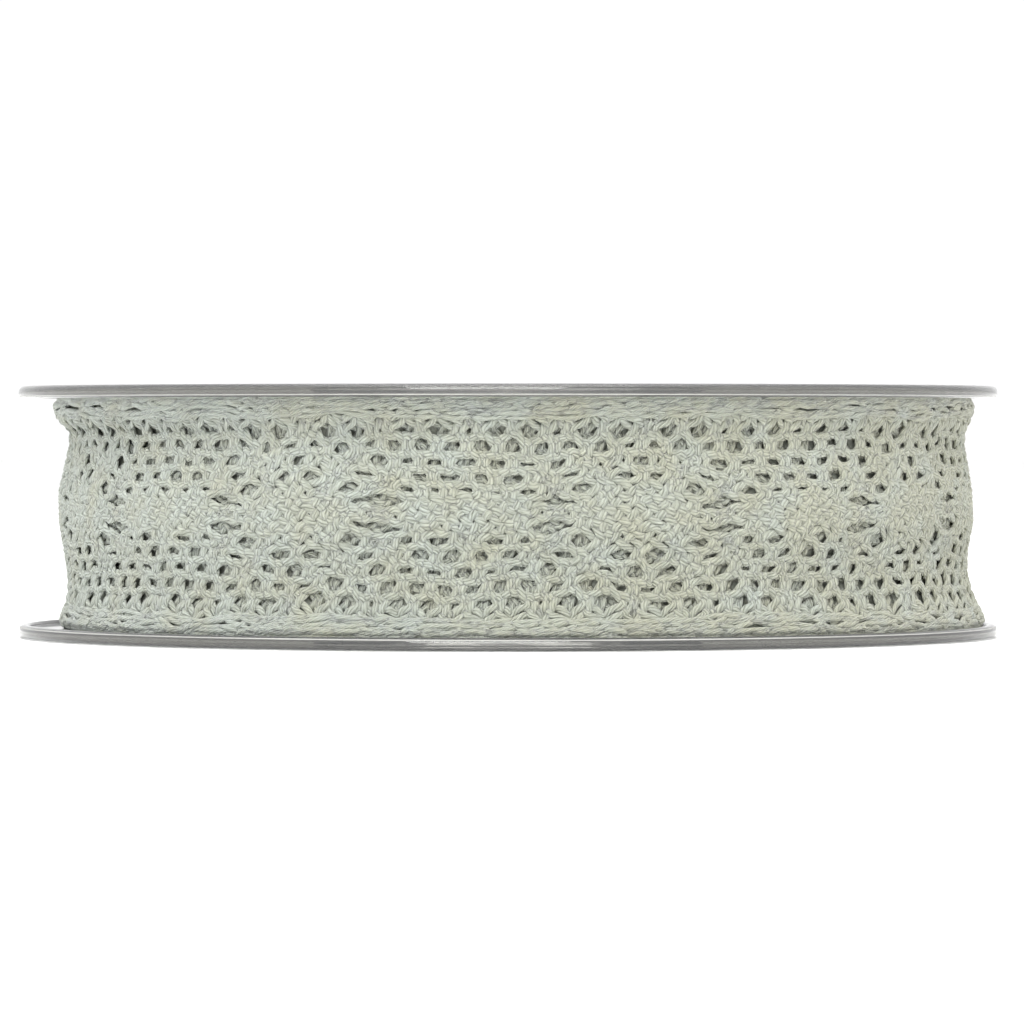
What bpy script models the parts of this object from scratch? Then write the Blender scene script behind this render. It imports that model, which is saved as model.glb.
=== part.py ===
"""A spool of lace ribbon: a wound roll of bobbin lace between the two clear halves of a reel.

Units are metres, +Z is up. The reel stands on its lower flange with its axis on the world's Z
axis, and +X is the side towards which the roll sits a little off centre.
"""

import math
from collections import namedtuple

import bmesh
import bpy

MM = 0.001

# Reel: two equal mouldings, each a thin disc with a thicker rim and one half of the hub
REEL_HEIGHT = 28.1 * MM
FLANGE_RADIUS = 55.0 * MM
WEB_THICKNESS = 1.0 * MM
RIM_THICKNESS = 1.4 * MM
RIM_WIDTH = 1.2 * MM
RIM_ROUNDING = 0.5 * MM
RIM_ARC_STEPS = 2
HUB_RADIUS = 17.0 * MM
BORE_RADIUS = 15.0 * MM
BORE_CHAMFER = 0.4 * MM
FLANGE_STEPS = 96

# Gap that is left wherever two pieces meet
FIT_GAP = 0.3 * MM

# Roll of lace: its own axis lies beside the reel's, and it stops a little short of the upper flange
LACE_WIDTH = 25.3 * MM
ROLL_OFFSET = 0.95 * MM
ROLL_FOOT = WEB_THICKNESS + FIT_GAP
ROLL_INNER_RADIUS = HUB_RADIUS + FIT_GAP
ROLL_STEPS = 128
EDGE_RINGS = 3

# Outer surface of the roll, from its foot up, at the side away from the offset and the side
# towards it. Both edges of the lace stand out, and it is drawn in beside them.
Station = namedtuple("Station", "height far_radius near_radius")
ROLL_STATIONS = (
    Station(height=0.0 * MM, far_radius=51.1 * MM, near_radius=52.2 * MM),
    Station(height=0.6 * MM, far_radius=51.5 * MM, near_radius=52.5 * MM),
    Station(height=1.9 * MM, far_radius=51.0 * MM, near_radius=52.0 * MM),
    Station(height=3.9 * MM, far_radius=50.6 * MM, near_radius=51.1 * MM),
    Station(height=6.1 * MM, far_radius=50.6 * MM, near_radius=50.6 * MM),
    Station(height=8.4 * MM, far_radius=50.9 * MM, near_radius=50.7 * MM),
    Station(height=11.7 * MM, far_radius=51.3 * MM, near_radius=51.4 * MM),
    Station(height=15.1 * MM, far_radius=51.3 * MM, near_radius=51.4 * MM),
    Station(height=17.4 * MM, far_radius=50.8 * MM, near_radius=51.1 * MM),
    Station(height=20.2 * MM, far_radius=50.3 * MM, near_radius=50.6 * MM),
    Station(height=21.9 * MM, far_radius=50.4 * MM, near_radius=50.7 * MM),
    Station(height=23.1 * MM, far_radius=51.7 * MM, near_radius=51.3 * MM),
    Station(height=24.6 * MM, far_radius=52.1 * MM, near_radius=51.5 * MM),
    Station(height=LACE_WIDTH, far_radius=51.6 * MM, near_radius=51.0 * MM),
)

# Unevenness of a roll wound by hand: waves round the roll that drift with height
Wave = namedtuple("Wave", "count depth drift phase")
ROLL_WAVES = (
    Wave(count=2, depth=0.14 * MM, drift=0.4, phase=0.9),
    Wave(count=5, depth=0.10 * MM, drift=-0.8, phase=2.3),
    Wave(count=11, depth=0.07 * MM, drift=1.3, phase=0.2),
)

# The lace's own repeat swells the roll where its solid diamonds lie, at half the lace's width,
# and leaves it hollow at the open eyes between them
PATTERN_REPEATS = 17
PATTERN_SWELL = 0.15 * MM
DIAMOND_ANGLE = math.radians(-96.2)

# Wound edges at the roll's two ends: shallow waves, as the turns don't lie quite level
END_WAVE_DEPTH = 0.25 * MM
END_WAVE_COUNT = 3


def clear_scene():
    """Remove every object that the file opened with."""
    for item in list(bpy.data.objects):
        bpy.data.objects.remove(item, do_unlink=True)


def make_collection(name):
    """Return a new collection linked to the scene."""
    collection = bpy.data.collections.new(name)
    bpy.context.scene.collection.children.link(collection)
    return collection


def make_material(name, colour, roughness, transmission=0.0):
    """Return a Principled material with the given linear colour."""
    material = bpy.data.materials.new(name)
    material.use_nodes = True
    shader = material.node_tree.nodes["Principled BSDF"]
    shader.inputs["Base Color"].default_value = (*colour, 1.0)
    shader.inputs["Roughness"].default_value = roughness
    shader.inputs["Metallic"].default_value = 0.0
    shader.inputs["Transmission Weight"].default_value = transmission
    return material


def make_object(name, mesh, material, collection):
    """Return an object that carries the mesh and the material."""
    item = bpy.data.objects.new(name, mesh)
    item.data.materials.append(material)
    collection.objects.link(item)
    return item


def profile_mesh(name, points):
    """Return a mesh with one closed loop of edges through (radius, height) points."""
    count = len(points)
    mesh = bpy.data.meshes.new(name)
    mesh.from_pydata(
        [(radius, 0.0, height) for radius, height in points],
        [(index, (index + 1) % count) for index in range(count)],
        [],
    )
    return mesh


def rounded_rim():
    """Return the rim's outer side from top to bottom, with both corners rounded."""
    centre_radius = FLANGE_RADIUS - RIM_ROUNDING
    points = []
    for centre_height, start in ((RIM_THICKNESS - RIM_ROUNDING, 90.0), (RIM_ROUNDING, 0.0)):
        for step in range(RIM_ARC_STEPS + 1):
            angle = math.radians(start - 90.0 * step / RIM_ARC_STEPS)
            radius = centre_radius + RIM_ROUNDING * math.cos(angle)
            points.append((radius, centre_height + RIM_ROUNDING * math.sin(angle)))
    return points


def reel_half_profile():
    """Return the section of a reel half: rim, flat outer face, bore, half hub and web."""
    hub_end = (REEL_HEIGHT - FIT_GAP) / 2.0
    return rounded_rim() + [
        (BORE_RADIUS + BORE_CHAMFER, 0.0),
        (BORE_RADIUS, BORE_CHAMFER),
        (BORE_RADIUS, hub_end),
        (HUB_RADIUS, hub_end),
        (HUB_RADIUS, WEB_THICKNESS),
        (FLANGE_RADIUS - RIM_WIDTH, WEB_THICKNESS),
        (FLANGE_RADIUS - RIM_WIDTH, RIM_THICKNESS),
    ]


def make_reel_half(name, material, collection):
    """Return one reel half, turned about the reel's axis with its flat face down."""
    half = make_object(name, profile_mesh(name, reel_half_profile()), material, collection)
    screw = half.modifiers.new("Turn", "SCREW")
    screw.axis = "Z"
    screw.angle = math.tau
    screw.steps = FLANGE_STEPS
    screw.render_steps = FLANGE_STEPS
    screw.use_merge_vertices = True
    screw.merge_threshold = 0.05 * MM
    screw.use_smooth_shade = True
    return half


def roll_profile():
    """Return the roll's section: outer side downwards, foot inwards, bore upwards, top outwards."""
    outer = [(station.near_radius, station.height) for station in reversed(ROLL_STATIONS)]
    top_radius, foot_radius = outer[0][0], outer[-1][0]
    shares = [(ring + 1) / (EDGE_RINGS + 1) for ring in range(EDGE_RINGS)]
    foot = [(foot_radius + share * (ROLL_INNER_RADIUS - foot_radius), 0.0) for share in shares]
    top = [(ROLL_INNER_RADIUS + share * (top_radius - ROLL_INNER_RADIUS), LACE_WIDTH) for share in shares]
    return outer + foot + [(ROLL_INNER_RADIUS, 0.0), (ROLL_INNER_RADIUS, LACE_WIDTH)] + top


def station_radius(height, angle):
    """Return the plain radius of the roll's outer surface at a height and an angle about its axis."""
    towards = (1.0 + math.cos(angle)) / 2.0
    below = ROLL_STATIONS[0]
    for above in ROLL_STATIONS[1:]:
        if height <= above.height:
            break
        below = above
    share = (height - below.height) / (above.height - below.height)
    far_radius = below.far_radius + share * (above.far_radius - below.far_radius)
    near_radius = below.near_radius + share * (above.near_radius - below.near_radius)
    return far_radius + towards * (near_radius - far_radius)


def unevenness(height, angle):
    """Return how far the waves and the lace's repeat push the surface out."""
    rise = height / LACE_WIDTH
    push = PATTERN_SWELL * math.cos(PATTERN_REPEATS * (angle - DIAMOND_ANGLE)) * math.sin(math.pi * rise)
    for wave in ROLL_WAVES:
        push += wave.depth * math.sin(wave.count * angle + math.tau * wave.drift * rise + wave.phase)
    return push


def make_roll(name, material, collection):
    """Return the wound roll: a spun section whose surfaces are then moved to the uneven form."""
    body = bmesh.new()
    outer_mark = body.verts.layers.int.new("outer")
    corners = [body.verts.new((radius, 0.0, height)) for radius, height in roll_profile()]
    edges = [body.edges.new((corners[index - 1], corners[index])) for index in range(len(corners))]
    for corner in corners[: len(ROLL_STATIONS)]:
        corner[outer_mark] = 1
    bmesh.ops.spin(
        body,
        geom=corners + edges,
        cent=(0.0, 0.0, 0.0),
        axis=(0.0, 0.0, 1.0),
        angle=math.tau,
        steps=ROLL_STEPS,
        use_merge=True,
    )
    for corner in body.verts:
        place_roll_corner(corner, is_outer=corner[outer_mark] == 1)
    bmesh.ops.recalc_face_normals(body, faces=body.faces)
    mesh = bpy.data.meshes.new(name)
    body.to_mesh(mesh)
    body.free()
    mesh.shade_smooth()
    roll = make_object(name, mesh, material, collection)
    roll.location.z = ROLL_FOOT
    return roll


def place_roll_corner(corner, is_outer):
    """Move one corner of the round section to its place on the uneven, off-centre roll."""
    angle = math.atan2(corner.co.y, corner.co.x)
    radius = math.hypot(corner.co.x, corner.co.y)
    height = corner.co.z
    if is_outer:
        radius = station_radius(height, angle) + unevenness(height, angle)
    depth_of_roll = ROLL_STATIONS[0].near_radius - ROLL_INNER_RADIUS
    share = min(1.0, (radius - ROLL_INNER_RADIUS) / depth_of_roll)
    corner.co.x = radius * math.cos(angle) + ROLL_OFFSET * share
    corner.co.y = radius * math.sin(angle)
    if not is_outer and share > 0.0:
        inwards = math.copysign(1.0, LACE_WIDTH / 2.0 - height)
        wave = (1.0 + math.sin(END_WAVE_COUNT * angle + math.tau * share)) / 2.0
        corner.co.z = height + inwards * END_WAVE_DEPTH * wave


def main():
    """Build the reel and its roll of lace."""
    clear_scene()
    collection = make_collection("lace_spool")
    plastic = make_material("clear_polystyrene", (0.86, 0.88, 0.87), roughness=0.08, transmission=0.9)
    lace = make_material("cotton_lace", (0.45, 0.48, 0.42), roughness=0.9)
    make_reel_half("reel_half_lower", plastic, collection)
    upper = make_reel_half("reel_half_upper", plastic, collection)
    upper.rotation_euler = (math.pi, 0.0, 0.0)
    upper.location.z = REEL_HEIGHT
    make_roll("lace_roll", lace, collection)
    bpy.context.view_layer.update()


main()
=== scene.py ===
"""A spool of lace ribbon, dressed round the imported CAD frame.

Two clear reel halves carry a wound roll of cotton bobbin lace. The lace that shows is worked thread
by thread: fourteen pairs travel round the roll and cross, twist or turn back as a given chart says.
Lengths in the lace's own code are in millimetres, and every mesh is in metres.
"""

import logging
import math
from collections.abc import Callable
from dataclasses import dataclass, field
from enum import Enum

import bmesh
import bpy
import numpy as np
from mathutils import Matrix, Vector


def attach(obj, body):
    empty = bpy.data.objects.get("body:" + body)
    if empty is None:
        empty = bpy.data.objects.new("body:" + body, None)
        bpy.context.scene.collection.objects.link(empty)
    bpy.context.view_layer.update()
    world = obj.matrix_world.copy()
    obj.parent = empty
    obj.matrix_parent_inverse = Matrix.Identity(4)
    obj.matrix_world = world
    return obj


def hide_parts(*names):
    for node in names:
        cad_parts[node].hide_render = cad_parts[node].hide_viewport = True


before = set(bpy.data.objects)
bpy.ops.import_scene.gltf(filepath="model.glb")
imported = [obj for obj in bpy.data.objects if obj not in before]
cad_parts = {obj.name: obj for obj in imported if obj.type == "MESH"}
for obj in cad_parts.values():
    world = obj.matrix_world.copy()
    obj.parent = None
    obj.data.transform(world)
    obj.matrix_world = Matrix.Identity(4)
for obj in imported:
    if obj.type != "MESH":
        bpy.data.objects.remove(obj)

MM = 0.001
LOG = logging.getLogger("lace_spool")

Array = np.ndarray
Colour = tuple[float, float, float]


class Slot(Enum):
    """Material slots of the record: one for the reel, one for the lace."""

    REEL = "reel"
    LACE = "lace"


class Hand(Enum):
    """Which way round a repeat of the lace is worked."""

    PLAIN = 1
    MIRRORED = -1


class Course(Enum):
    """Which way a pair of threads runs across the lace as it travels round the roll."""

    DOWN = 1
    UP = -1

    def turned(self) -> "Course":
        """Return the other course."""
        return Course(-self.value)


class Hole(Enum):
    """How open a hole of the lace is, as a share of the ground's own holes."""

    CLOSED = 0.0
    SMALL = 0.7
    OPEN = 1.3
    WIDE = 2.3


# Small helpers for modelling


def deselect_all() -> None:
    """Leave no object selected, so that an operator acts on one piece alone."""
    bpy.ops.object.select_all(action="DESELECT")


def make_only_active(piece: bpy.types.Object) -> None:
    """Select one piece and make it the active object.

    Args:
        piece: The piece that the next operators act on.
    """
    deselect_all()
    piece.select_set(True)
    bpy.context.view_layer.objects.active = piece


def pick(piece: bpy.types.Object, kind: str, test: Callable[[object], bool]) -> None:
    """Select the edges or faces of the piece in edit mode that pass a test, and no others.

    Args:
        piece: The piece in edit mode.
        kind: EDGE or FACE.
        test: Says of an edge or a face whether it is wanted.
    """
    bpy.ops.mesh.select_mode(type=kind)
    bpy.ops.mesh.select_all(action="DESELECT")
    body = bmesh.from_edit_mesh(piece.data)
    for item in body.edges if kind == "EDGE" else body.faces:
        item.select_set(test(item))
    bmesh.update_edit_mesh(piece.data)


def is_ring(edge: bmesh.types.BMEdge, radius: float, height: float) -> bool:
    """Say whether an edge runs round the reel's axis at a radius and a height.

    Args:
        edge: The edge to test.
        radius: The ring's radius in metres.
        height: The ring's height in metres.

    Returns:
        True if both ends of the edge lie on that ring.
    """
    near = 0.02 * MM
    return all(
        abs(math.hypot(corner.co.x, corner.co.y) - radius) < near and abs(corner.co.z - height) < near
        for corner in edge.verts
    )


def face_outwards() -> None:
    """Turn all faces of the piece in edit mode outwards, and leave edit mode."""
    bpy.ops.mesh.select_all(action="SELECT")
    bpy.ops.mesh.normals_make_consistent(inside=False)
    bpy.ops.object.mode_set(mode="OBJECT")


def hand_over(piece: bpy.types.Object) -> None:
    """Tie a finished piece to the frame's only body."""
    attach(piece, "root")


# Finishes


class MaterialWork:
    """A material in the making, with short ways to add nodes and to feed their inputs."""

    def __init__(self, name: str) -> None:
        """Start the material with a plain Principled shader."""
        self.material = bpy.data.materials.new(name)
        self.material.use_nodes = True
        self.tree = self.material.node_tree
        self.shader = self.tree.nodes["Principled BSDF"]

    def feed(self, node: bpy.types.Node, inputs: dict[str | int, object]) -> None:
        """Link sockets into a node's inputs, and set its other inputs to numbers or colours.

        Args:
            node: The node.
            inputs: A socket, a number, a vector or a linear colour for each input.
        """
        for place, value in inputs.items():
            socket = node.inputs[place]
            if isinstance(value, bpy.types.NodeSocket):
                self.tree.links.new(value, socket)
            elif socket.type == "RGBA":
                socket.default_value = (*value, 1.0)
            else:
                socket.default_value = value

    def node(self, kind: str, inputs: dict[str | int, object], **settings: object) -> bpy.types.Node:
        """Add a node, make its settings and feed its inputs.

        Args:
            kind: The node's type, without the prefix that all shader nodes have.
            inputs: What its inputs are fed.
            **settings: Its settings.

        Returns:
            The node.
        """
        node = self.tree.nodes.new(f"ShaderNode{kind}")
        for name, value in settings.items():
            setattr(node, name, value)
        self.feed(node, inputs)
        return node

    def coordinates(self, kind: str) -> bpy.types.NodeSocket:
        """Return the UV or the Object coordinates."""
        return self.node("TexCoord", {}).outputs[kind]

    def axis(self, vector: bpy.types.NodeSocket, name: str) -> bpy.types.NodeSocket:
        """Return one axis of a vector."""
        return self.node("SeparateXYZ", {0: vector}).outputs[name]

    def math(self, operation: str, *values: object, clamp: bool = False) -> bpy.types.NodeSocket:
        """Return what a Math node makes of sockets and numbers."""
        return self.node("Math", dict(enumerate(values)), operation=operation, use_clamp=clamp).outputs[0]

    def noise(self, vector: bpy.types.NodeSocket, scale: float, detail: float) -> bpy.types.NodeSocket:
        """Return the value of a Noise Texture node."""
        return self.node("TexNoise", {"Vector": vector, "Scale": scale, "Detail": detail}).outputs["Fac"]

    def mix(self, share: bpy.types.NodeSocket, first: object, second: object) -> bpy.types.NodeSocket:
        """Mix two colours.

        Args:
            share: The share of the second colour.
            first: A socket or a linear colour.
            second: A socket or a linear colour.

        Returns:
            The mixed colour's socket.
        """
        node = self.node("Mix", {"Factor": share}, data_type="RGBA")
        places = [place for place, item in enumerate(node.inputs) if item.type == "RGBA"]
        self.feed(node, dict(zip(places, (first, second))))
        return next(item for item in node.outputs if item.type == "RGBA")

    def bump(self, height: object, strength: float, depth: float, invert: bool = False) -> None:
        """Give the shader a bump from a height."""
        inputs = {"Height": height, "Strength": strength, "Distance": depth}
        self.feed(self.shader, {"Normal": self.node("Bump", inputs, invert=invert).outputs["Normal"]})

    def finish(self, inputs: dict[str, object]) -> bpy.types.Material:
        """Feed the shader and return the finished material."""
        self.feed(self.shader, inputs)
        return self.material


@dataclass(frozen=True)
class CottonYarn:
    """Matt cotton yarn: twisted plies, soft fibres, an uneven dye, painted groove shade and a painted lamp
    tint.
    """

    name: str = "cotton_yarn"
    cool: Colour = (0.412, 0.445, 0.406)
    warm: Colour = (0.404, 0.409, 0.330)
    # Colour of the painted shade in the ply grooves and fibre dips.
    groove_shade_colour: Colour = (0.165, 0.175, 0.145)
    plies: float = 6.0
    ply_length: float = 5.0
    ply_depth: float = 0.0001
    bump_strength: float = 0.9
    painted_shade_share: float = 0.60
    groove_shade_sharpness: float = 2.5
    blotch_scale: float = 260.0
    blotch_contrast: float = 2.6
    # Painted light: cool on the left, warm on the right, for the lamps' colour.
    drift: float = 8.0
    light_drift_start: float = -0.8
    fibre_along: float = 1.1
    fibre_around: float = 9.0
    fibre_height: float = 1.6
    # Painted shade where the fibre noise, and with it the bump, dips.
    fibre_dip_shade_contrast: float = -3.2
    fibre_dip_shade_start: float = 1.95
    roughness: float = 0.92
    specular: float = 0.25
    glow: float = 0.7
    glow_colours: Colour = (1.0, 1.0, 0.9)
    glow_reach: float = 0.0004
    sheen: float = 0.12
    sheen_roughness: float = 0.6

    def make(self) -> bpy.types.Material:
        """Build the material on the yarn's own UV map, which has millimetres along the yarn.

        Returns:
            The finished material.
        """
        work = MaterialWork(self.name)
        along, around = work.axis(work.coordinates("UV"), "X"), work.axis(work.coordinates("UV"), "Y")
        turn = work.math("MULTIPLY_ADD", along, 1.0 / self.ply_length, around)
        ply = work.math("ABSOLUTE", work.math("COSINE", work.math("MULTIPLY", turn, math.pi * self.plies)))
        fibre_x = work.math("MULTIPLY", along, self.fibre_along)
        fibre_y = work.math("MULTIPLY", turn, self.fibre_around)
        fibre = work.noise(work.node("CombineXYZ", {"X": fibre_x, "Y": fibre_y}).outputs[0], 1.0, 4.0)
        height = work.math("MULTIPLY_ADD", fibre, self.fibre_height, ply)
        work.bump(height, self.bump_strength, self.ply_depth)
        place = work.coordinates("Object")
        # Painted light: the colour runs from cool on the left to warm on the right, for the lamps' colour; the
        # noise blotches are the dye's own unevenness.
        painted_light_tint = work.math("MULTIPLY_ADD", work.axis(place, "X"), self.drift, self.light_drift_start)
        blotch = work.noise(place, self.blotch_scale, 2.0)
        spread = work.math("MULTIPLY_ADD", blotch, self.blotch_contrast, painted_light_tint, clamp=True)
        # Painted shade: darker towards the shade colour in the ply grooves and where the fibre bump dips.
        ply_groove_shade = work.math("POWER", work.math("SUBTRACT", 1.0, ply), self.groove_shade_sharpness)
        fibre_dip_shade = work.math("MULTIPLY_ADD", fibre, self.fibre_dip_shade_contrast, self.fibre_dip_shade_start, clamp=True)
        shade = work.math("MULTIPLY", work.math("ADD", ply_groove_shade, fibre_dip_shade), self.painted_shade_share, clamp=True)
        return work.finish({
            "Base Color": work.mix(shade, work.mix(spread, self.cool, self.warm), self.groove_shade_colour),
            "Roughness": self.roughness,
            "Specular IOR Level": self.specular,
            "Subsurface Weight": self.glow,
            "Subsurface Radius": self.glow_colours,
            "Subsurface Scale": self.glow_reach,
            "Sheen Weight": self.sheen,
            "Sheen Roughness": self.sheen_roughness,
        })  # fmt: skip


@dataclass(frozen=True)
class WoundLace:
    """The lace's turns that lie below the thread-by-thread ones: the same cotton, seen as layers, in painted
    shade.
    """

    name: str = "wound_lace"
    light: Colour = (0.56, 0.585, 0.515)
    # Colour of the painted shade in the hollows between turns and in the knot gaps.
    shaded: Colour = (0.10, 0.108, 0.087)
    knot_scale: float = 1100.0
    knot_depth: float = 0.0003
    bump_strength: float = 0.9
    fibre_scale: float = 2600.0
    fibre_height: float = 0.4
    gap_shade: float = 0.7
    sunk_shade: float = 0.85
    roughness: float = 0.95
    specular: float = 0.2
    lit_share: str = "lit_share"

    def make(self) -> bpy.types.Material:
        """Build the material on Object coordinates and the body's own lit-share attribute, which mixes in
        painted shade.

        Returns:
            The finished material.
        """
        work = MaterialWork(self.name)
        place = work.coordinates("Object")
        knots = work.node("TexVoronoi", {"Vector": place, "Scale": self.knot_scale}).outputs["Distance"]
        fibre = work.noise(place, self.fibre_scale, 3.0)
        height = work.math("MULTIPLY_ADD", fibre, self.fibre_height, knots)
        work.bump(height, self.bump_strength, self.knot_depth, invert=True)
        # Painted shade: the body's lit share and the knot gaps mix the lit colour with the shade colour.
        lit_share = work.node("Attribute", {}, attribute_name=self.lit_share).outputs["Fac"]
        sunk = work.math("SUBTRACT", 1.0, lit_share)
        gap = work.math("MULTIPLY", work.math("POWER", knots, 2.0), self.gap_shade)
        shade = work.math("MULTIPLY_ADD", sunk, self.sunk_shade, gap, clamp=True)
        base = work.mix(shade, self.light, self.shaded)
        shared = {"Roughness": self.roughness, "Specular IOR Level": self.specular}
        return work.finish({"Base Color": base, **shared})


@dataclass(frozen=True)
class ClearPolystyrene:
    """Clear moulded polystyrene with a faint grey tint and the faint streaks that moulding leaves."""

    name: str = "clear_polystyrene"
    tint: Colour = (0.925, 0.93, 0.945)
    depth_tint: Colour = (0.60, 0.595, 0.56)
    depth_density: float = 48.0
    roughness: float = 0.035
    refraction: float = 1.45
    clarity: float = 0.94
    streak_scale: tuple[float, float, float] = (30.0, 30.0, 2500.0)
    streak_depth: float = 0.00002
    bump_strength: float = 0.5

    def make(self) -> bpy.types.Material:
        """Build the material on Object coordinates, with its tint growing with depth.

        Returns:
            The finished material.
        """
        work = MaterialWork(self.name)
        drawn = work.node("Mapping", {"Vector": work.coordinates("Object"), "Scale": self.streak_scale})
        work.bump(work.noise(drawn.outputs[0], 1.0, 3.0), self.bump_strength, self.streak_depth)
        depth = work.node("VolumeAbsorption", {"Color": self.depth_tint, "Density": self.depth_density})
        output = next(node for node in work.tree.nodes if node.type == "OUTPUT_MATERIAL")
        work.feed(output, {"Volume": depth.outputs["Volume"]})
        return work.finish({
            "Base Color": self.tint,
            "Roughness": self.roughness,
            "IOR": self.refraction,
            "Transmission Weight": self.clarity,
        })  # fmt: skip


@dataclass(frozen=True)
class RimLine:
    """A painted highlight round a rim: a hair's breadth of pale grey plastic, brighter and dimmer by noise."""

    name: str = "rim_line"
    bright_highlight: Colour = (0.48, 0.48, 0.46)
    dim_highlight: Colour = (0.24, 0.24, 0.23)
    highlight_break_scale: float = 70.0
    roughness: float = 0.4

    def make(self) -> bpy.types.Material:
        """Build the material on Object coordinates.

        Returns:
            The finished material.
        """
        work = MaterialWork(self.name)
        # Painted highlight: a pale line round the rim, brighter and dimmer by noise.
        highlight_breaks = work.noise(work.coordinates("Object"), self.highlight_break_scale, 3.0)
        base = work.mix(highlight_breaks, self.bright_highlight, self.dim_highlight)
        return work.finish({"Base Color": base, "Roughness": self.roughness})


@dataclass(frozen=True)
class FloorPaper:
    """Plain near-white background paper."""

    name: str = "floor_paper"
    colour: Colour = (0.96, 0.96, 0.955)
    grain_scale: float = 400.0
    grain_depth: float = 0.0001
    bump_strength: float = 0.1
    roughness: float = 0.9

    def make(self) -> bpy.types.Material:
        """Build the material on Object coordinates.

        Returns:
            The finished material.
        """
        work = MaterialWork(self.name)
        grain = work.noise(work.coordinates("Object"), self.grain_scale, 2.0)
        work.bump(grain, self.bump_strength, self.grain_depth)
        return work.finish({"Base Color": self.colour, "Roughness": self.roughness})


# Reel


@dataclass
class Reel:
    """Two equal clear mouldings: each a thin disc with a thicker rim and one half of the hub."""

    height: float = 28.1 * MM
    flange_radius: float = 55.0 * MM
    web_thickness: float = 1.0 * MM
    rim_thickness: float = 1.4 * MM
    rim_width: float = 1.2 * MM
    rim_rounding: float = 0.62 * MM
    rim_round_steps: int = 6
    rim_line_depth: float = 0.25 * MM
    rim_line_half: float = 0.03 * MM
    web_fillet: float = 0.25 * MM
    hub_radius: float = 17.0 * MM
    hub_fillet: float = 0.5 * MM
    fillet_steps: int = 3
    bore_radius: float = 15.0 * MM
    bore_chamfer: float = 0.4 * MM
    fit_gap: float = 0.3 * MM
    steps: int = 256
    smooth_angle: float = math.radians(35.0)
    finish: ClearPolystyrene = field(default_factory=ClearPolystyrene)
    line_finish: RimLine = field(default_factory=RimLine)

    def build(self) -> list[bpy.types.Object]:
        """Model one half, copy it for the other end, and hand both over.

        Returns:
            The lower and the upper half.
        """
        lower = self.model_half()
        self.dress(lower)
        upper = lower.copy()
        upper.data = lower.data.copy()
        bpy.context.scene.collection.objects.link(upper)
        upper.data.transform(Matrix.Translation((0.0, 0.0, self.height)) @ Matrix.Rotation(math.pi, 4, "X"))
        for piece, name in ((lower, "reel_lower"), (upper, "reel_upper")):
            piece.name = name
            piece.data.name = name
        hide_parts("reel_half_lower")
        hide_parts("reel_half_upper")
        hand_over(lower)
        hand_over(upper)
        return [lower, upper]

    def model_half(self) -> bpy.types.Object:
        """Model the lower half from a disc: rim, recessed web, hub and bore.

        Returns:
            The half, with its place in its mesh.
        """
        deselect_all()
        bpy.ops.mesh.primitive_cylinder_add(
            vertices=self.steps,
            radius=self.flange_radius,
            depth=self.rim_thickness,
            location=(0.0, 0.0, self.rim_thickness / 2.0),
        )
        half = bpy.context.active_object
        bpy.ops.object.transform_apply(location=True, rotation=True, scale=True)
        bpy.ops.object.mode_set(mode="EDIT")
        self.press_web(half)
        self.raise_hub(half)
        self.cut_bore(half)
        self.round_edges(half)
        face_outwards()
        make_only_active(half)
        bpy.ops.object.shade_smooth_by_angle(angle=self.smooth_angle)
        return half

    def press_web(self, half: bpy.types.Object) -> None:
        """Inset the inner face by the rim's width and press it down to the web."""
        pick(half, "FACE", lambda face: face.normal.z > 0.9)
        bpy.ops.mesh.inset(thickness=self.rim_width)
        step = self.web_thickness - self.rim_thickness
        bpy.ops.mesh.extrude_region_move(TRANSFORM_OT_translate={"value": (0.0, 0.0, step)})

    def raise_hub(self, half: bpy.types.Object) -> None:
        """Inset the pressed face to the hub's radius and raise the half hub from it."""
        inner = self.flange_radius - self.rim_width
        bpy.ops.mesh.inset(thickness=inner - self.hub_radius)
        hub_end = (self.height - self.fit_gap) / 2.0
        rise = hub_end - self.web_thickness
        bpy.ops.mesh.extrude_region_move(TRANSFORM_OT_translate={"value": (0.0, 0.0, rise)})

    def cut_bore(self, half: bpy.types.Object) -> None:
        """Inset the hub's end and the outer face to the bore, and join the two openings."""
        bpy.ops.mesh.inset(thickness=self.hub_radius - self.bore_radius)
        bpy.ops.mesh.delete(type="ONLY_FACE")
        pick(half, "FACE", lambda face: face.normal.z < -0.9)
        bpy.ops.mesh.inset(thickness=self.flange_radius - self.bore_radius)
        bpy.ops.mesh.delete(type="ONLY_FACE")
        pick(half, "EDGE", lambda edge: edge.is_boundary)
        bpy.ops.mesh.bridge_edge_loops()

    def round_edges(self, half: bpy.types.Object) -> None:
        """Round the rim's outer edges, fill the corners of rim and hub, and break the bore's edge."""
        inner = self.flange_radius - self.rim_width
        for radius, height, offset, segments in (
            (self.flange_radius, 0.0, self.rim_rounding, self.rim_round_steps),
            (self.flange_radius, self.rim_thickness, self.rim_rounding, self.rim_round_steps),
            (inner, self.rim_thickness, self.web_fillet, self.fillet_steps),
            (self.hub_radius, self.web_thickness, self.hub_fillet, self.fillet_steps),
            (self.bore_radius, 0.0, self.bore_chamfer, 1),
        ):
            pick(half, "EDGE", lambda edge, ring=(radius, height): is_ring(edge, *ring))
            bpy.ops.mesh.bevel(offset=offset, segments=segments, profile=0.5)

    def dress(self, half: bpy.types.Object) -> None:
        """Give the half its plastic, and the row of faces of the painted highlight line its own finish."""
        half.data.materials.append(self.finish.make())
        half.data.materials.append(self.line_finish.make())
        for face in half.data.polygons:
            radius = math.hypot(face.center.x, face.center.y)
            depth = self.rim_thickness - face.center.z
            # The row of faces that carries the painted highlight line.
            at_line = abs(depth - self.rim_line_depth) < self.rim_line_half
            face.material_index = int(at_line and radius > self.flange_radius - self.rim_rounding)


# Form of the wound roll


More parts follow.
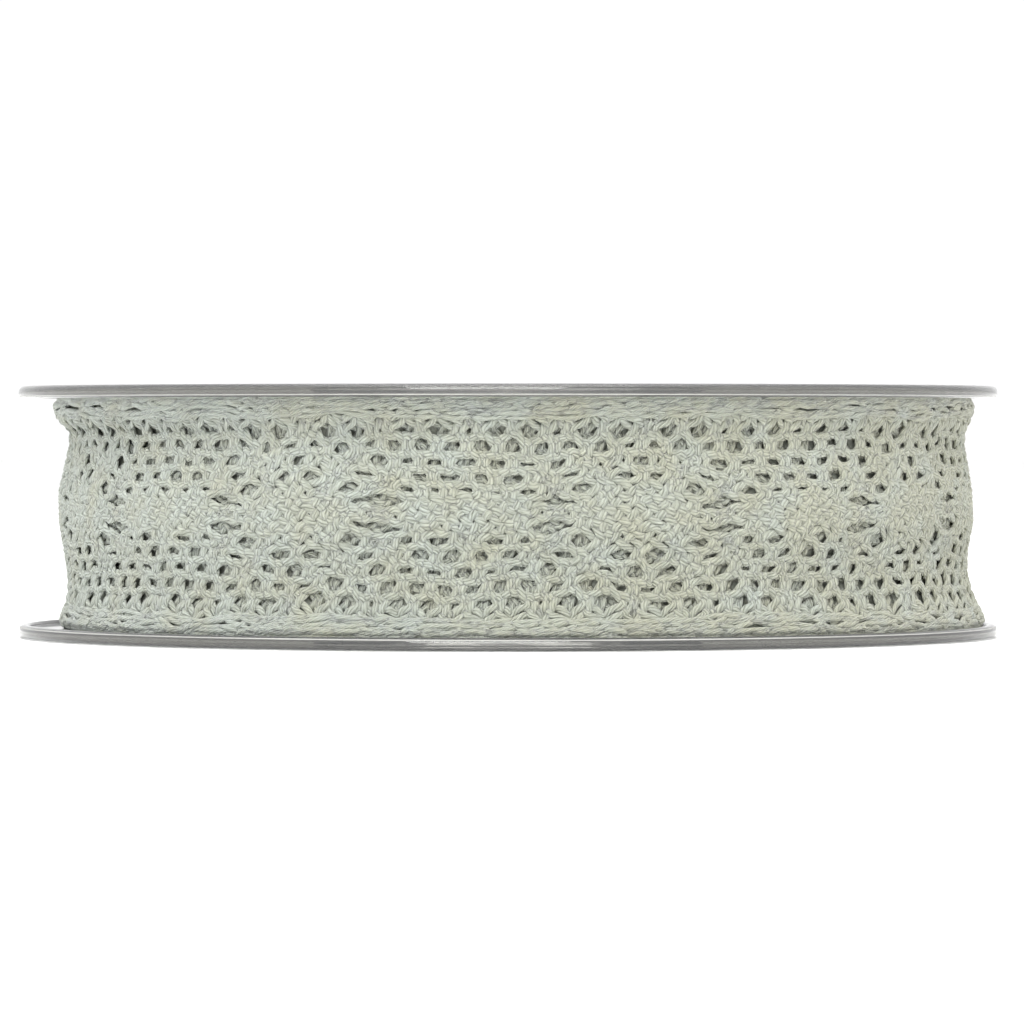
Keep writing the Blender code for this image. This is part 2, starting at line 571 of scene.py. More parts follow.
@dataclass(frozen=True)
class Station:
    """Radius of the roll at one height, at the side away from its offset and the side towards it."""

    height: float
    far_radius: float
    near_radius: float


@dataclass(frozen=True)
class Wave:
    """One wave round the roll, of handwork's unevenness. Its drift is in turns over the lace's width."""

    count: int
    depth: float
    drift: float = 0.0
    phase: float = 0.0

    def at(self, angle: Array, rise: Array | float = 0.0, lag: float = 0.0) -> Array:
        """Return the wave's push.

        Args:
            angle: Angles round the roll.
            rise: Shares of the lace's width.
            lag: What is added to the wave's phase.

        Returns:
            The push at each place.
        """
        return self.depth * np.sin(self.count * angle + math.tau * self.drift * rise + self.phase + lag)


@dataclass(frozen=True)
class RollForm:
    """Outer surface of the roll, as its CAD solid has it. Lengths are in millimetres."""

    offset: float = 0.95
    foot: float = 1.3
    lace_width: float = 25.3
    edge_margin: float = 0.15
    inner_radius: float = 17.3
    mean_radius: float = 51.15
    stations: tuple[Station, ...] = (
        Station(0.0, 51.1, 52.2),
        Station(0.6, 51.5, 52.5),
        Station(1.9, 51.0, 52.0),
        Station(3.9, 50.6, 51.1),
        Station(6.1, 50.6, 50.6),
        Station(8.4, 50.9, 50.7),
        Station(11.7, 51.3, 51.4),
        Station(15.1, 51.3, 51.4),
        Station(17.4, 50.8, 51.1),
        Station(20.2, 50.3, 50.6),
        Station(21.9, 50.4, 50.7),
        Station(23.1, 51.7, 51.3),
        Station(24.6, 52.1, 51.5),
        Station(25.3, 51.6, 51.0),
    )
    waves: tuple[Wave, ...] = (
        Wave(count=2, depth=0.14, drift=0.4, phase=0.9),
        Wave(count=5, depth=0.10, drift=-0.8, phase=2.3),
        Wave(count=11, depth=0.07, drift=1.3, phase=0.2),
    )
    repeats: int = 17
    swell: float = 0.15
    diamond_angle: float = math.radians(-96.2)

    @property
    def girth(self) -> float:
        """Length round the roll at its mean radius."""
        return math.tau * self.mean_radius

    def radius(self, angle: Array, height: Array) -> Array:
        """Find the outer radius about the roll's own axis.

        Args:
            angle: Angles about the roll's axis.
            height: Heights above the roll's foot.

        Returns:
            The radii.
        """
        heights = [station.height for station in self.stations]
        far = np.interp(height, heights, [station.far_radius for station in self.stations])
        near = np.interp(height, heights, [station.near_radius for station in self.stations])
        towards = (1.0 + np.cos(angle)) / 2.0
        rise = height / self.lace_width
        push = self.swell * np.cos(self.repeats * (angle - self.diamond_angle)) * np.sin(math.pi * rise)
        push = push + sum(wave.at(angle, rise) for wave in self.waves)
        return far + towards * (near - far) + push

    def place(self, path: Array) -> tuple[Array, Array]:
        """Lay points of the lace's plane on the roll.

        Args:
            path: Rows of length round the roll, distance down from the lace's top edge, and lift.

        Returns:
            The points in metres, and the outward direction at each.
        """
        angle = path[:, 0] / self.mean_radius - math.pi / 2.0
        height = self.lace_width - self.edge_margin - path[:, 1]
        radius = self.radius(angle, np.clip(height, 0.0, self.lace_width)) + path[:, 2]
        outward = np.stack((np.cos(angle), np.sin(angle), np.zeros_like(angle)), axis=1)
        points = outward * radius[:, None]
        points[:, 0] += self.offset
        points[:, 2] = self.foot + height
        return points * MM, outward


# Chart of the lace


@dataclass(frozen=True)
class ChartRow:
    """Holes and uncrossed nodes of one repeat, in the rows that share them.

    Places are in pitches from the repeat's eye, towards the dense diamond. A hole that isn't named
    is closed.
    """

    rows: tuple[int, ...]
    open_holes: tuple[float, ...] = ()
    small_holes: tuple[float, ...] = ()
    wide_holes: tuple[float, ...] = ()
    uncrossed: tuple[float, ...] = ()


@dataclass(frozen=True)
class LaceChart:
    """The pattern as charted: open ground, dense diamonds and an eye with a bundle of threads."""

    last_row: int = 14
    pitches: int = 6
    eye_place: float = 4.0
    row_depths: tuple[float, ...] = (
        1.5, 3.2, 4.9, 6.6, 8.2, 9.6, 10.9, 12.2, 13.5, 15.0, 16.5, 18.1, 19.8, 21.6, 23.4
    )  # fmt: skip
    row_leans: tuple[float, ...] = (
        0.15, 0.1, 0.05, 0.0, 0.0, 0.0, 0.0, 0.0, 0.0, 0.0, -0.05, -0.15, -0.28, -0.36, -0.4
    )  # fmt: skip
    chart: tuple[ChartRow, ...] = (
        ChartRow((1, 13), small_holes=(0, 3), wide_holes=(-2, -1, 1, 2)),
        ChartRow((2, 12), open_holes=(-2.5, -1.5, -0.5, 0.5, 1.5, 2.5)),
        ChartRow((3,), open_holes=(0, 1, 2, 3), small_holes=(-3,)),
        ChartRow((4,), open_holes=(-0.5, 1.5, 2.5), wide_holes=(-2.5,)),
        ChartRow((5,), open_holes=(1,), small_holes=(2, 3), wide_holes=(-1,)),
        ChartRow((6, 8), open_holes=(-0.5, 0.5), small_holes=(-2.5,), uncrossed=(0,)),
        ChartRow((7,), small_holes=(-1,)),
        ChartRow((9,), open_holes=(2,), small_holes=(1,), wide_holes=(-1,)),
        ChartRow((10,), open_holes=(-0.5, 1.5), wide_holes=(-2.5, 2.5)),
        ChartRow((11,), open_holes=(-3, -2, 0, 1, 2, 3)),
    )


# Working of the lace


@dataclass
class Step:
    """Where a thread is: the node that it comes to, its course and its place in the pair."""

    column: int
    row: int
    course: Course
    place: int

    def key(self, columns: int) -> tuple[int, int, int, int]:
        """Name the state, the same for each turn round the roll."""
        return self.column % columns, self.row, self.course.value, self.place


@dataclass
class LaceWork:
    """Threads of one turn of lace, worked from the chart."""

    form: RollForm
    chart: LaceChart
    seed: int = 7
    shift: float = 0.0
    lift: float = -0.42
    ply_height: float = 0.15
    tight_half: float = 0.28
    tight_share: float = 0.55
    stretch: float = 0.06
    slackness: float = 0.35
    edge_openness: float = 0.4
    twist_openness: float = 0.4
    pull: float = 0.30
    turn_gap: float = 1.35
    turn_spread: float = 0.26
    turn_lift: float = 0.06
    edge_drop: float = 0.18
    bundle_gap: float = 0.24
    bundle_spread: float = 0.16
    leg_spread: float = 0.56
    leg_squeeze: float = 0.18
    fill: float = 0.17
    jitter: float = 0.22
    warp_along: float = 0.40
    warp_across: float = 0.22
    along_waves: tuple[Wave, ...] = (Wave(9, 1.0, drift=1.0), Wave(23, 0.6, drift=-1.7))
    across_waves: tuple[Wave, ...] = (Wave(13, 1.0, drift=0.5, phase=2.0), Wave(31, 0.7, drift=1.3))

    def __post_init__(self) -> None:
        """Lay out the nodes' places and the holes' openness round the whole roll."""
        chart = self.chart
        self.columns = 2 * chart.pitches * self.form.repeats
        self.pitch = self.form.girth / (chart.pitches * self.form.repeats)
        self.rng = np.random.default_rng(self.seed)
        self.openness = np.zeros((self.columns, chart.last_row + 1))
        self.openness[:, [0, -1]] = self.edge_openness
        self.uncrossed = np.zeros(self.openness.shape, dtype=bool)
        half = self.form.repeats // 2
        for repeat in range(-half, half + 1):
            hand = Hand.PLAIN if repeat % 2 else Hand.MIRRORED
            for line in chart.chart:
                self.mark_line(line, repeat * chart.pitches, hand)
        self.openness *= self.rng.uniform(1.0 - self.slackness, 1.0, self.openness.shape)
        self.settle_nodes()
        self.reach = self.rng.uniform(-self.stretch, self.stretch, self.openness.shape)

    def mark_line(self, line: ChartRow, start: int, hand: Hand) -> None:
        """Mark the holes and uncrossed nodes of one chart row in one repeat.

        Args:
            line: The row of the chart.
            start: The pitch at the repeat's eye.
            hand: Which way round the repeat is worked.
        """
        sizes = {Hole.OPEN: line.open_holes, Hole.SMALL: line.small_holes, Hole.WIDE: line.wide_holes}
        for row in line.rows:
            for hole, places in sizes.items():
                for place in places:
                    column = round(2 * (start + hand.value * place)) % self.columns
                    self.openness[column, row] = max(hole.value, self.openness[column, row])
            for place in line.uncrossed:
                self.uncrossed[round(2 * (start + hand.value * place)) % self.columns, row] = True

    def warp(self, waves: tuple[Wave, ...], across: Array) -> Array:
        """Find how waves push the nodes.

        Args:
            waves: The waves, each next one later by the seed.
            across: The nodes' distances down from the top edge.

        Returns:
            The push at every node, as a share of the waves' whole depth.
        """
        turn = math.tau * np.arange(self.columns)[:, None] / self.columns
        rise = across / self.form.lace_width
        push = sum(wave.at(turn, rise, number * self.seed) for number, wave in enumerate(waves))
        return push / sum(wave.depth for wave in waves)

    def settle_nodes(self) -> None:
        """Place the nodes: drawn away from open holes, and as uneven as handwork is."""
        drawn_along = np.roll(self.openness, 1, axis=0) - np.roll(self.openness, -1, axis=0)
        padded = np.pad(self.openness, ((0, 0), (1, 1)), mode="edge")
        drawn_across = padded[:, :-2] - padded[:, 2:]
        lean = self.pitch * np.array(self.chart.row_leans)[None, :]
        along = self.chart.eye_place + self.shift + self.pitch * np.arange(self.columns)[:, None] / 2.0 + lean
        across = np.tile(self.chart.row_depths, (self.columns, 1))
        loose = self.rng.uniform(-self.jitter, self.jitter, (2, *self.openness.shape))
        warp_along = self.warp_along * self.warp(self.along_waves, across)
        warp_across = self.warp_across * self.warp(self.across_waves, across)
        self.along = along + self.pull * drawn_along + warp_along + loose[0]
        self.across = across + self.pull * drawn_across + warp_across + loose[1]
        self.across[:, [0, -1]] = (across + loose[1])[:, [0, -1]]

    def node(self, column: int, row: int) -> Array:
        """Return a node's place, counted on past a full turn round the roll."""
        turns, at = divmod(column, self.columns)
        return np.array((self.along[at, row] + turns * self.form.girth, self.across[at, row]))

    def swell(self, *holes: float) -> float:
        """Return a thread's size between holes: the more of them are closed, the wider it lies."""
        return 1.0 + self.fill * (1.0 - min(sum(holes) / len(holes), 1.0))

    def open_at(self, column: int, row: int) -> float:
        """Return the openness of a hole."""
        return float(self.openness[column % self.columns, min(max(row, 0), self.chart.last_row)])

    def at_edge(self, row: int) -> bool:
        """Say whether a row is the first or the last."""
        return row in (0, self.chart.last_row)

    def turns_back(self, column: int, row: int) -> bool:
        """Say whether pairs turn back at a node instead of crossing."""
        return self.at_edge(row) or bool(self.uncrossed[column % self.columns, row])

    def cross(self, step: Step) -> list[tuple[float, ...]]:
        """Work a thread through a node where two pairs weave over and under each other.

        Args:
            step: The thread as it comes to the node.

        Returns:
            Its two crossings: length round the roll, distance down, lift and size.
        """
        along, across = self.node(step.column, step.row)
        beside = ((-1, 0), (1, 0), (0, -1), (0, 1))
        holes = [self.open_at(step.column + right, step.row + down) for right, down in beside]
        open_left, open_right, open_above, open_below = (min(hole, 1.0) for hole in holes)
        reach = self.reach[step.column % self.columns, step.row]
        spare = self.pitch / 4.0 - self.tight_half
        left = self.tight_half + spare * (1.0 - open_left) + reach
        right = self.tight_half + spare * (1.0 - open_right) - reach
        depths = self.chart.row_depths
        less = 0.5 - self.tight_share - reach
        above = (depths[step.row] - depths[step.row - 1]) * (0.5 - less * open_above)
        below = (depths[step.row + 1] - depths[step.row]) * (0.5 - less * open_below)
        over = self.ply_height * step.course.value
        top, bottom = (along, across - above, over), (along, across + below, over)
        at_left, at_right = (along - left, across, -over), (along + right, across, -over)
        crossings = {
            (Course.DOWN, 0): (top, at_right),
            (Course.DOWN, 1): (at_left, bottom),
            (Course.UP, 0): (at_left, top),
            (Course.UP, 1): (bottom, at_right),
        }
        size = self.swell(*holes)
        return [(*point, size) for point in crossings[step.course, step.place]]

    def is_bundled(self, row: int, course: Course) -> bool:
        """Say whether a pair that turns back in a row, coming on a course, joins the eye's bundle."""
        centre_row = self.chart.last_row // 2
        return (row, course) in ((centre_row - 1, Course.UP), (centre_row + 1, Course.DOWN))

    def turn_place(self, column: int, row: int, course: Course) -> Array:
        """Return where a pair that comes on a course turns back at a node.

        Args:
            column: The node's column.
            row: The node's row.
            course: The course on which the pair comes.

        Returns:
            Length round the roll and distance down.
        """
        place = self.node(column, row)
        side = -1.0 if course is Course.DOWN else 1.0
        if self.at_edge(row):
            return place
        if self.is_bundled(row, course):
            centre_row = self.chart.last_row // 2
            middle = (self.node(column + 1, centre_row)[1] + self.node(column - 1, centre_row)[1]) / 2.0
            place[1] = middle - side * self.bundle_gap
        else:
            place[1] += side * self.turn_gap
        return place

    def turn_back(self, step: Step) -> list[tuple[float, ...]]:
        """Work a thread through a node where its pair turns back.

        Args:
            step: The thread as it comes to the node.

        Returns:
            Its one point at the turn: length round the roll, distance down, lift and size.
        """
        along, across = self.turn_place(step.column, step.row, step.course)
        spread = self.bundle_spread if self.is_bundled(step.row, step.course) else self.turn_spread
        drop = self.edge_drop if self.at_edge(step.row) else 0.0
        side = 1.0 if step.place else -1.0
        return [(along, across + side * spread, side * self.turn_lift - drop, 1.0)]

    def leg_end(self, column: int, row: int, course: Course) -> Array:
        """Return where a leg ends at a node, for a pair that comes to it on a course."""
        turning = self.turns_back(column, row)
        return self.turn_place(column, row, course) if turning else self.node(column, row)

    def leg(self, step: Step) -> tuple[tuple[float, ...], bool]:
        """Work a thread along the leg that leaves a node.

        Args:
            step: The thread as it leaves the node, with its new course.

        Returns:
            The point at the leg's middle, and whether the pair twists there.
        """
        here = self.leg_end(step.column, step.row, step.course.turned())
        there = self.leg_end(step.column + 1, step.row + step.course.value, step.course)
        side_row = step.row - 1 if step.course is Course.UP else step.row
        above = self.open_at(step.column + (step.course is Course.DOWN), side_row)
        below = self.open_at(step.column + (step.course is Course.UP), side_row + 1)
        middle = (here + there) / 2.0
        if min(above, below) >= self.twist_openness:
            lift = -self.ply_height if step.place else self.ply_height
            return (*middle, lift, 1.0), True
        run = there - here
        normal = np.array((-run[1], run[0])) / np.hypot(*run)
        side, hole = (1.0, below) if step.place else (-1.0, above)
        middle = middle + normal * side * (self.leg_spread - self.leg_squeeze * min(hole, 1.0))
        return (*middle, 0.0, self.swell(above, below)), False

    def trace(self, start: Step, seen: set[tuple[int, int, int, int]]) -> tuple[Array, int]:
        """Follow one thread until it comes back to where it started.

        Args:
            start: Where the thread starts.
            seen: The states that threads have been through, which this one is added to.

        Returns:
            The thread's points, and how many times it goes round the roll.
        """
        step = start
        points: list[tuple[float, ...]] = []
        while step.key(self.columns) not in seen:
            seen.add(step.key(self.columns))
            back = self.turns_back(step.column, step.row)
            points += self.turn_back(step) if back else self.cross(step)
            course = step.course.turned() if back else step.course
            middle, twists = self.leg(Step(step.column, step.row, course, step.place))
            points.append(middle)
            place = 1 - step.place if twists else step.place
            step = Step(step.column + 1, step.row + course.value, course, place)
        return np.array(points), (step.column - start.column) // self.columns

    def threads(self) -> list[tuple[Array, int]]:
        """Work every thread of the turn, from the roll's back, where its start and end meet.

        Returns:
            Each thread's points and its turns round the roll.
        """
        seen: set[tuple[int, int, int, int]] = set()
        worked = []
        rows = range(self.chart.last_row + 1)
        for row in rows[::2]:
            for course in Course:
                if row - course.value not in rows:
                    continue
                for place in (0, 1):
                    start = Step(self.columns // 2, row, course, place)
                    if start.key(self.columns) not in seen:
                        worked.append(self.trace(start, seen))
        for points, _ in worked:
            points[:, 2] += self.lift
        return worked


@dataclass(frozen=True)
class Ripple:
    """A wave along each strand of a plait, quicker and later in each next strand."""

    depth: float
    count: int
    quicker: int
    later: float

    def at(self, share: Array, number: int) -> Array:
        """Return the wave along one strand, at shares of a turn."""
        swing = math.tau * (self.count + self.quicker * number) * share
        return self.depth * np.sin(swing + self.later * number)


@dataclass(frozen=True)
class EdgePlait:
    """Flat plait along one edge of the lace, bordered by two straight threads."""

    form: RollForm
    centre: float
    borders: tuple[float, float]
    half_width: float = 0.85
    strands: int = 8
    periods: int = 11
    lift: float = -0.32
    ply_height: float = 0.16
    flip_sharpness: float = 3.0
    highest: float = -0.12
    lowest: float = 25.02
    seed: int = 3
    samples: int = 36
    jitter: float = 0.05
    wander: tuple[Wave, ...] = (Wave(7, 0.12, phase=1.0), Wave(17, 0.10))
    drag: Ripple = Ripple(0.09, 11, 2, 1.0)
    reach: Ripple = Ripple(0.30, 19, 3, 2.0)
    border_sway: Ripple = Ripple(0.05, 29, 8, 1.0)
    border_lift: Ripple = Ripple(0.10, 41, 6, 2.0)

    def threads(self) -> list[tuple[Array, int]]:
        """Plait the strands once round the roll.

        Returns:
            Each strand's points and its turns round the roll.
        """
        rng = np.random.default_rng(self.seed)
        count = self.periods * self.samples
        share = 0.5 + np.arange(count) / count
        along = share * self.form.girth
        even = np.ones(count)
        angle = math.tau * share
        wander = sum(wave.at(angle, lag=number * self.seed) for number, wave in enumerate(self.wander))
        worked = []
        for strand in range(self.strands):
            swing = math.tau * (self.periods * share + strand / self.strands + self.drag.at(share, strand))
            reach = self.half_width * (1.0 + self.reach.at(share, strand))
            across = np.clip(self.centre + reach * np.sin(swing) + wander, self.highest, self.lowest)
            turned = swing + math.pi / 2.0
            side = np.tanh(self.flip_sharpness * np.sin(turned))
            lift = self.lift - self.ply_height * np.cos(self.strands * turned) * side
            loose = rng.uniform(-self.jitter, self.jitter, (2, count))
            worked.append(np.stack((along, across + loose[0], lift + loose[1], even), axis=1))
        for number, border in enumerate(self.borders):
            across = border + self.border_sway.at(share, number)
            lift = self.lift + self.border_lift.at(share, number)
            worked.append(np.stack((along, across, lift, even), axis=1))
        return [(points, 1) for points in worked]


# Yarn laid along the threads


@dataclass(frozen=True)
class Yarn:
    """A yarn's section, how finely it is modelled, and how its width varies along it."""

    half_width: float = 0.455
    half_height: float = 0.20
    sides: int = 6
    step: float = 0.42
    unevenness: float = 0.12
    slub_lengths: tuple[float, float] = (2.3, 7.1)


@dataclass
class YarnMesh:
    """Tubes of yarn gathered into one mesh."""

    yarn: Yarn
    corners: list[Array] = field(default_factory=list)
    faces: list[Array] = field(default_factory=list)
    maps: list[Array] = field(default_factory=list)
    corner_count: int = 0

    def add_run(self, centres: Array, outward: Array, length: Array, girth: Array) -> None:
        """Add one run of yarn as a closed tube with capped ends.

        Args:
            centres: Points along the yarn, in metres.
            outward: The roll's outward direction at each.
            length: Millimetres along the yarn at each.
            girth: The yarn's width at each, as a share of its nominal width.
        """
        sides = self.yarn.sides
        along = np.gradient(centres, axis=0)
        along /= np.linalg.norm(along, axis=1)[:, None]
        across = np.cross(outward, along)
        across /= np.linalg.norm(across, axis=1)[:, None]
        upward = np.cross(along, across)
        around = math.tau * np.arange(sides) / sides - math.pi / 2.0
        half_width = (self.yarn.half_width * MM * girth)[:, None, None]
        wide = half_width * across[:, None, :] * np.cos(around)[None, :, None]
        high = self.yarn.half_height * MM * upward[:, None, :] * np.sin(around)[None, :, None]
        self.corners.append((centres[:, None, :] + wide + high).reshape(-1, 3))
        shape = (len(centres) - 1, sides)
        ring = np.arange(shape[0])[:, None] * sides
        place = np.arange(sides)[None, :]
        after = (place + 1) % sides
        quads = np.stack((ring + place, ring + after, ring + sides + after, ring + sides + place), axis=2)
        rims = (length[:-1, None], length[1:, None], place / sides, (place + 1) / sides)
        start, end, low, top = (np.broadcast_to(rim, shape) for rim in rims)
        maps = np.stack((start, low, start, top, end, top, end, low), axis=2).reshape(-1, 4, 2)
        caps = self.cap_faces()
        faces = np.concatenate((quads.reshape(-1, 4), caps[:, ::-1], caps + shape[0] * sides))
        self.faces.append(faces + self.corner_count)
        self.maps.append(np.concatenate((maps, np.zeros((2 * len(caps), 4, 2)))))
        self.corner_count += len(centres) * sides

    def cap_faces(self) -> Array:
        """Return the four-sided faces that close a ring of corners."""
        sides = self.yarn.sides
        return np.array([(0, step, step + 1, step + 2) for step in range(1, sides - 2, 2)])

    def make(self, name: str, material: bpy.types.Material) -> bpy.types.Object:
        """Join the runs into one piece.

        Args:
            name: The piece's name.
            material: The yarn's material.

        Returns:
            The piece.
        """
        corners = np.concatenate(self.corners).astype(np.float32)
        faces = np.concatenate(self.faces).astype(np.int32)
        maps = np.concatenate(self.maps).astype(np.float32)
        mesh = bpy.data.meshes.new(name)
        mesh.vertices.add(len(corners))
        mesh.vertices.foreach_set("co", corners.ravel())
        mesh.loops.add(faces.size)
        mesh.loops.foreach_set("vertex_index", faces.ravel())
        mesh.polygons.add(len(faces))
        mesh.polygons.foreach_set("loop_start", np.arange(0, faces.size, 4, dtype=np.int32))
        mesh.update(calc_edges=True)
        layer = mesh.uv_layers.new(name="yarn")
        layer.data.foreach_set("uv", maps.ravel())
        mesh.validate()
        mesh.shade_smooth()
        mesh.materials.append(material)
        piece = bpy.data.objects.new(name, mesh)
        bpy.context.scene.collection.objects.link(piece)
        return piece


def smooth_path(points: Array, turns: int, girth: float, step: float) -> Array:
    """Draw a smooth closed line through points, with samples about a step apart.

    Args:
        points: Rows of length round the roll, distance down, lift and size.
        turns: How many times the line goes round the roll before it closes.
        girth: The length of one turn.
        step: The distance between samples.

    Returns:
        The samples, the last of which closes the line.
    """
    shift = np.array((turns * girth, 0.0, 0.0, 0.0))
    padded = np.concatenate((points[-1:] - shift, points, points[:2] + shift))
    gaps = np.maximum(np.linalg.norm(np.diff(padded[:, :3], axis=0), axis=1), 1e-6)
    slopes = (padded[2:] - padded[:-2]) / (gaps[1:] + gaps[:-1])[:, None]
    starts = padded[1:-2]
    ends = padded[2:-1]
    spans = gaps[1:-1]
    counts = np.maximum(np.round(spans / step), 1).astype(int)
    index = np.repeat(np.arange(len(spans)), counts)
    first = np.repeat(np.cumsum(counts) - counts, counts)
    share = ((np.arange(len(index)) - first) / counts[index])[:, None]
    reach = spans[index][:, None]
    line = (
        starts[index] * (2 * share**3 - 3 * share**2 + 1)
        + slopes[:-1][index] * reach * (share**3 - 2 * share**2 + share)
        + ends[index] * (-2 * share**3 + 3 * share**2)
        + slopes[1:][index] * reach * (share**3 - share**2)
    )
    return np.concatenate((line, points[:1] + shift))


@dataclass
class LaceTurns:
    """The lace that shows: its outer turn in three sectors, its edge plaits and the turn below it."""

    form: RollForm = field(default_factory=RollForm)
    chart: LaceChart = field(default_factory=LaceChart)
    finish: CottonYarn = CottonYarn()
    edge_finish: CottonYarn = CottonYarn(name="edge_cotton", painted_shade_share=0.36)
    outer_yarn: Yarn = Yarn()
    lower_yarn: Yarn = Yarn(sides=4, step=0.75, half_width=0.47, half_height=0.27)
    edge_yarn: Yarn = Yarn(half_width=0.31, half_height=0.22, step=0.55)
    lower_turn_lift: float = -1.08
    lower_turn_shift: float = 7.7
    lower_turn_seed: int = 19
    sector_names: tuple[str, ...] = ("lace_front", "lace_right", "lace_left")

    def build(self) -> list[bpy.types.Object]:
        """Work the turns and hand their pieces over.

        Returns:
            The pieces.
        """
        cotton = self.finish.make()
        outer = LaceWork(self.form, self.chart)
        pieces = self.lay(outer.threads(), self.outer_yarn, self.sector_names, cotton)
        below = LaceWork(
            self.form, self.chart, self.lower_turn_seed, shift=self.lower_turn_shift, lift=self.lower_turn_lift
        )
        pieces += self.lay(below.threads(), self.lower_yarn, ("lace_second_turn",), cotton)
        upper = EdgePlait(self.form, centre=0.82, borders=(-0.12, 0.30))
        lower = EdgePlait(self.form, centre=24.05, borders=(25.04, 24.66), periods=12, seed=8)
        edge_cotton = self.edge_finish.make()
        pieces += self.lay(upper.threads(), self.edge_yarn, ("lace_edge_upper",), edge_cotton)
        pieces += self.lay(lower.threads(), self.edge_yarn, ("lace_edge_lower",), edge_cotton)
        for piece in pieces:
            hand_over(piece)
        return pieces

    def lay(
        self, threads: list[tuple[Array, int]], yarn: Yarn, names: tuple[str, ...], cotton: bpy.types.Material
    ) -> list[bpy.types.Object]:
        """Lay yarn along threads, with one piece for each sector of the roll.

        Args:
            threads: Each thread's points and turns.
            yarn: The yarn to lay.
            names: The sectors' pieces, the first of them facing the front.
            cotton: The yarn's material.

        Returns:
            The pieces.
        """
        gathered = [YarnMesh(yarn) for _ in names]
        for number, (points, turns) in enumerate(threads):
            path = smooth_path(points, turns, self.form.girth, yarn.step)
            centres, outward = self.form.place(path)
            steps = np.linalg.norm(np.diff(centres, axis=0), axis=1) / MM
            length = np.concatenate(([0.0], np.cumsum(steps)))
            short, long = (length / slub for slub in yarn.slub_lengths)
            slub = yarn.unevenness * np.sin(short + number) * np.cos(long + 2 * number)
            size = path[:, 3] * (1.0 + slub)
            share = (path[:, 0] / self.form.girth + 0.5 / len(names)) % 1.0
            sector = np.minimum((share * len(names)).astype(int), len(names) - 1)
            cuts = np.flatnonzero(np.diff(sector)) + 1
            bounds = [0, *cuts.tolist(), len(path)]
            for begin, end in zip(bounds[:-1], bounds[1:]):
                run = slice(begin, min(end + 1, len(path)))
                if run.stop - run.start > 1:
                    gathered[sector[begin]].add_run(centres[run], outward[run], length[run], size[run])
        return [mesh.make(name, cotton) for mesh, name in zip(gathered, names)]


# Wound body below the turns that show


